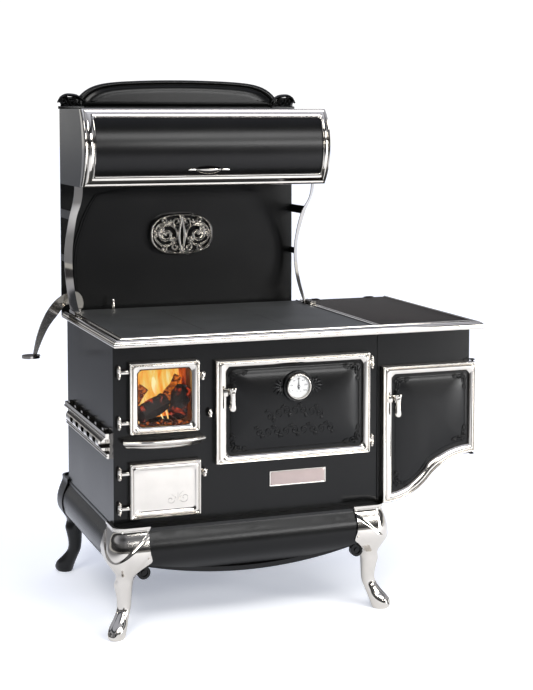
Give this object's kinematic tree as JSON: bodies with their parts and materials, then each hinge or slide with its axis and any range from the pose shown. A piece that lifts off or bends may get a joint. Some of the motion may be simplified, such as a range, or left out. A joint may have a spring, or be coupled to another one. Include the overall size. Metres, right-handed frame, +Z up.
{
  "type": "wood cookstove",
  "caption": "Cast wood cookstove on cabriole legs: firebox, oven, side water reservoir, flat cooktop and a warming closet on a backguard, with working doors, lids and controls.",
  "frame": {"origin": "bottom centre of the stove's bounding box, on the floor under its middle", "axes": "+Z up, +Y from the front of the stove to its back, +X to the right as seen from the front"},
  "size_m": [1.2675, 0.8122, 1.561],
  "materials": {
    "nickel": "bright nickel plate, polished",
    "black_enamel": "satin black vitreous enamel on sheet and cast iron",
    "black_casting": "semi-gloss black enamel on castings",
    "cooktop_iron": "machined iron cooking surface, seasoned satin",
    "lid_enamel": "gloss black-brown enamel",
    "iron": "raw grey iron, heat darkened",
    "brick": "buff refractory brick",
    "glass": "clear ceramic glass",
    "galvanised": "dull tinned steel",
    "plate_metal": "warm brushed plate with a bright border",
    "dial": "white printed dial",
    "pointer": "black pointer",
    "oven_liner": "speckled grey oven enamel"
  },
  "bodies": {
    "stove": {"front_legs": "nickel", "rear_legs": "black_casting", "leg_screws": "nickel", "base_plate": "black_casting", "front_skirt": "black_enamel", "base_skirts": "black_enamel", "front_plate": "black_enamel", "side_walls": "black_enamel", "back_panel": "black_enamel", "firebox_wall": "iron", "fire_bricks": "brick", "grate_frame": "iron", "ash_floor": "iron", "ash_pan": "galvanised", "door_hinge_pins": "nickel", "hearth_lip": "black_casting", "draft_housing": "nickel", "oven_box": "oven_liner", "oven_rack": "galvanised", "oven_catch": "nickel", "name_plate": "plate_metal", "side_casing": "black_enamel", "reservoir_tank": "galvanised", "top_frame": "black_casting", "cook_plates": "cooktop_iron", "cooktop_rails": "nickel", "flue_box": "black_casting", "flue_collar": "black_casting", "backguard": "black_enamel", "vent_grille": "nickel", "closet_brackets": "nickel", "tie_tabs": "black_casting", "closet_case": "black_enamel", "closet_frame": "nickel", "crest": "black_enamel", "crest_scrolls": "black_casting"},
    "fire_door": {"fire_door_frame": "nickel", "fire_door_glass": "glass", "glass_clips": "iron"},
    "fire_latch": {"fire_door_latch": "nickel"},
    "ash_door": {"ash_door": "nickel"},
    "ash_latch": {"ash_door_latch": "nickel"},
    "oven_door": {"oven_door_frame": "nickel", "oven_door_panel": "black_enamel", "thermometer_case": "nickel", "thermometer_dial": "dial", "thermometer_glass": "glass"},
    "gauge_pointer": {"thermometer_pointer": "pointer"},
    "oven_handle": {"oven_handle": "nickel"},
    "side_door": {"side_door_frame": "nickel", "side_door_panel": "black_enamel"},
    "side_handle": {"side_handle": "nickel"},
    "closet_door": {"closet_door": "black_enamel", "closet_pull": "nickel"},
    "reservoir_lid": {"reservoir_lid": "lid_enamel"},
    "lift_plate": {"cook_plate_left": "cooktop_iron"},
    "damper": {"damper": "nickel"},
    "draft_shutter": {"draft_shutter": "nickel"},
    "swing_arm": {"swing_arm": "nickel"},
    "rocking_grate": {"rocking_grate": "iron"}
  },
  "joints": [
    {"name": "fire_door_hinge", "type": "hinge", "parent": "stove", "child": "fire_door", "pos_m": [-0.48475, -0.34887, 0.67], "axis": [0, 0, -1], "range_deg": [0, 110]},
    {"name": "fire_latch_turn", "type": "hinge", "parent": "fire_door", "child": "fire_latch", "pos_m": [-0.24525, -0.35187, 0.721], "axis": [0, -1, 0], "range_deg": [0, 90]},
    {"name": "ash_door_hinge", "type": "hinge", "parent": "stove", "child": "ash_door", "pos_m": [-0.48475, -0.34887, 0.408], "axis": [0, 0, -1], "range_deg": [0, 110]},
    {"name": "ash_latch_turn", "type": "hinge", "parent": "ash_door", "child": "ash_latch", "pos_m": [-0.24025, -0.35187, 0.446], "axis": [0, -1, 0], "range_deg": [0, 90]},
    {"name": "oven_door_hinge", "type": "hinge", "parent": "stove", "child": "oven_door", "pos_m": [0.27425, -0.35287, 0.6135], "axis": [0, 0, 1], "range_deg": [0, 105]},
    {"name": "pointer_turn", "type": "hinge", "parent": "oven_door", "child": "gauge_pointer", "pos_m": [0.03825, -0.36987, 0.674], "axis": [0, 1, 0], "range_deg": [-120, 120], "stiffness_Nm_per_rad": 0.0005},
    {"name": "oven_handle_swing", "type": "hinge", "parent": "oven_door", "child": "oven_handle", "pos_m": [-0.16375, -0.37787, 0.668], "axis": [0, 1, 0], "range_deg": [-20, 70]},
    {"name": "side_door_hinge", "type": "hinge", "parent": "stove", "child": "side_door", "pos_m": [0.60425, -0.34787, 0.56], "axis": [0, 0, 1], "range_deg": [0, 100]},
    {"name": "side_handle_swing", "type": "hinge", "parent": "side_door", "child": "side_handle", "pos_m": [0.34725, -0.37787, 0.617], "axis": [0, 1, 0], "range_deg": [-20, 70]},
    {"name": "closet_door_lift", "type": "hinge", "parent": "stove", "child": "closet_door", "pos_m": [-0.10225, 0.03758, 1.434], "axis": [-1, 0, 0], "range_deg": [0, 55]},
    {"name": "reservoir_lid_lift", "type": "hinge", "parent": "stove", "child": "reservoir_lid", "pos_m": [0.4525, 0.30313, 0.83], "axis": [-1, 0, 0], "range_deg": [0, 80]},
    {"name": "lift_plate_lift", "type": "slide", "parent": "stove", "child": "lift_plate", "axis": [0, 0, 1], "range_m": [0, 0.05]},
    {"name": "damper_pull", "type": "slide", "parent": "stove", "child": "damper", "axis": [0, 0, 1], "range_m": [0, 0.025]},
    {"name": "draft_slide", "type": "slide", "parent": "stove", "child": "draft_shutter", "axis": [0, 1, 0], "range_m": [0, 0.03]},
    {"name": "swing_arm_turn", "type": "hinge", "parent": "stove", "child": "swing_arm", "pos_m": [-0.45275, 0.28213, 0.834], "axis": [0, 0, 1], "range_deg": [-45, 12]},
    {"name": "grate_rock", "type": "hinge", "parent": "stove", "child": "rocking_grate", "pos_m": [-0.359, -0.05787, 0.546], "axis": [0, 1, 0], "range_deg": [-12, 12]}
  ]
}
